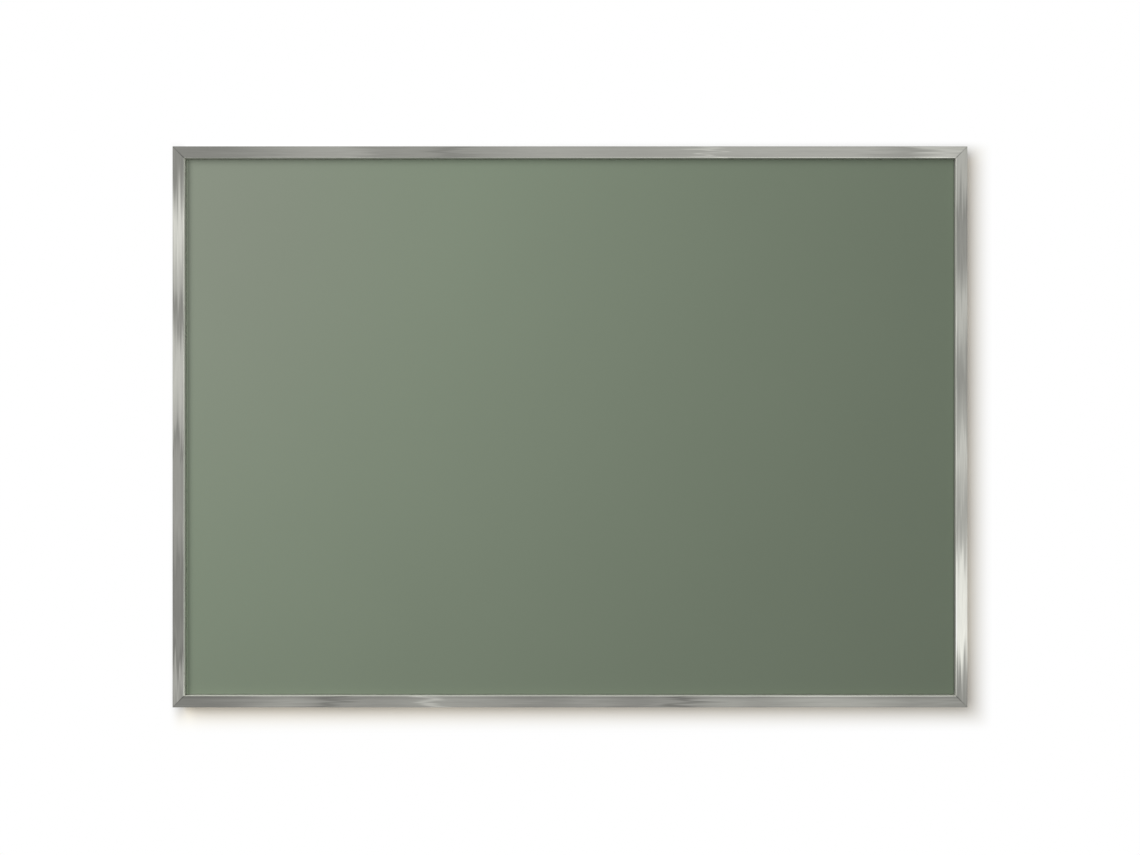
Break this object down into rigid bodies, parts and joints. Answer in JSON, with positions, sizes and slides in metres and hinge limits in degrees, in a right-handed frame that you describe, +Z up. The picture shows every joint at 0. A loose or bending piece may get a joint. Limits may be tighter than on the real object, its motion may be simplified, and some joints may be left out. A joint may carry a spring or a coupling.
{
  "type": "magnetic board",
  "caption": "Framed magnetic wall board: a painted steel sheet set back in a mitred frame of brushed metal rails, with ring hangers behind.",
  "frame": {"origin": "centre of the wall plane that the four bumpers rest against", "axes": "+X to the viewer's right along the width, +Y from the viewer into the wall, +Z up the height"},
  "size_m": [0.8636, 0.0233, 0.6096],
  "materials": {
    "brushed_rail": "brushed along the rail's length",
    "sage_paint": "smooth satin powder coat",
    "fibreboard": "raw fibreboard",
    "galvanised_sheet": "galvanised with a fine spangle",
    "zinc_plated_steel": "bright zinc plate",
    "nickel_wire": "nickel plate",
    "black_rubber": "matte"
  },
  "bodies": {
    "board": {"frame_rail_top": "brushed_rail", "frame_rail_bottom": "brushed_rail", "frame_rail_left": "brushed_rail", "frame_rail_right": "brushed_rail", "face_tray": "sage_paint", "core_board": "fibreboard", "backing_sheet": "galvanised_sheet", "corner_angle_top_left": "zinc_plated_steel", "corner_angle_top_right": "zinc_plated_steel", "corner_angle_bottom_left": "zinc_plated_steel", "corner_angle_bottom_right": "zinc_plated_steel", "corner_plate_top_left": "zinc_plated_steel", "corner_plate_top_right": "zinc_plated_steel", "corner_plate_bottom_left": "zinc_plated_steel", "corner_plate_bottom_right": "zinc_plated_steel", "set_screw_top_left_across": "zinc_plated_steel", "set_screw_top_left_upright": "zinc_plated_steel", "set_screw_top_right_across": "zinc_plated_steel", "set_screw_top_right_upright": "zinc_plated_steel", "set_screw_bottom_left_across": "zinc_plated_steel", "set_screw_bottom_left_upright": "zinc_plated_steel", "set_screw_bottom_right_across": "zinc_plated_steel", "set_screw_bottom_right_upright": "zinc_plated_steel", "panel_screw_top_1": "zinc_plated_steel", "panel_screw_top_2": "zinc_plated_steel", "panel_screw_top_3": "zinc_plated_steel", "panel_screw_top_4": "zinc_plated_steel", "panel_screw_bottom_1": "zinc_plated_steel", "panel_screw_bottom_2": "zinc_plated_steel", "panel_screw_bottom_3": "zinc_plated_steel", "panel_screw_bottom_4": "zinc_plated_steel", "panel_screw_left_1": "zinc_plated_steel", "panel_screw_left_2": "zinc_plated_steel", "panel_screw_right_1": "zinc_plated_steel", "panel_screw_right_2": "zinc_plated_steel", "hanger_strap_left": "zinc_plated_steel", "hanger_strap_right": "zinc_plated_steel", "hanger_screw_left_upper": "zinc_plated_steel", "hanger_screw_left_lower": "zinc_plated_steel", "hanger_screw_right_upper": "zinc_plated_steel", "hanger_screw_right_lower": "zinc_plated_steel", "wall_bumper_top_left": "black_rubber", "wall_bumper_top_right": "black_rubber", "wall_bumper_bottom_left": "black_rubber", "wall_bumper_bottom_right": "black_rubber"},
    "ring_left": {"hanger_ring_left": "nickel_wire"},
    "ring_right": {"hanger_ring_right": "nickel_wire"}
  },
  "joints": [
    {"name": "ring_left_swing", "type": "hinge", "parent": "board", "child": "ring_left", "pos_m": [-0.4106, -0.0049, 0.18288], "axis": [1, 0, 0], "range_deg": [0, 180]},
    {"name": "ring_right_swing", "type": "hinge", "parent": "board", "child": "ring_right", "pos_m": [0.4106, -0.0049, 0.18288], "axis": [1, 0, 0], "range_deg": [0, 180]}
  ]
}
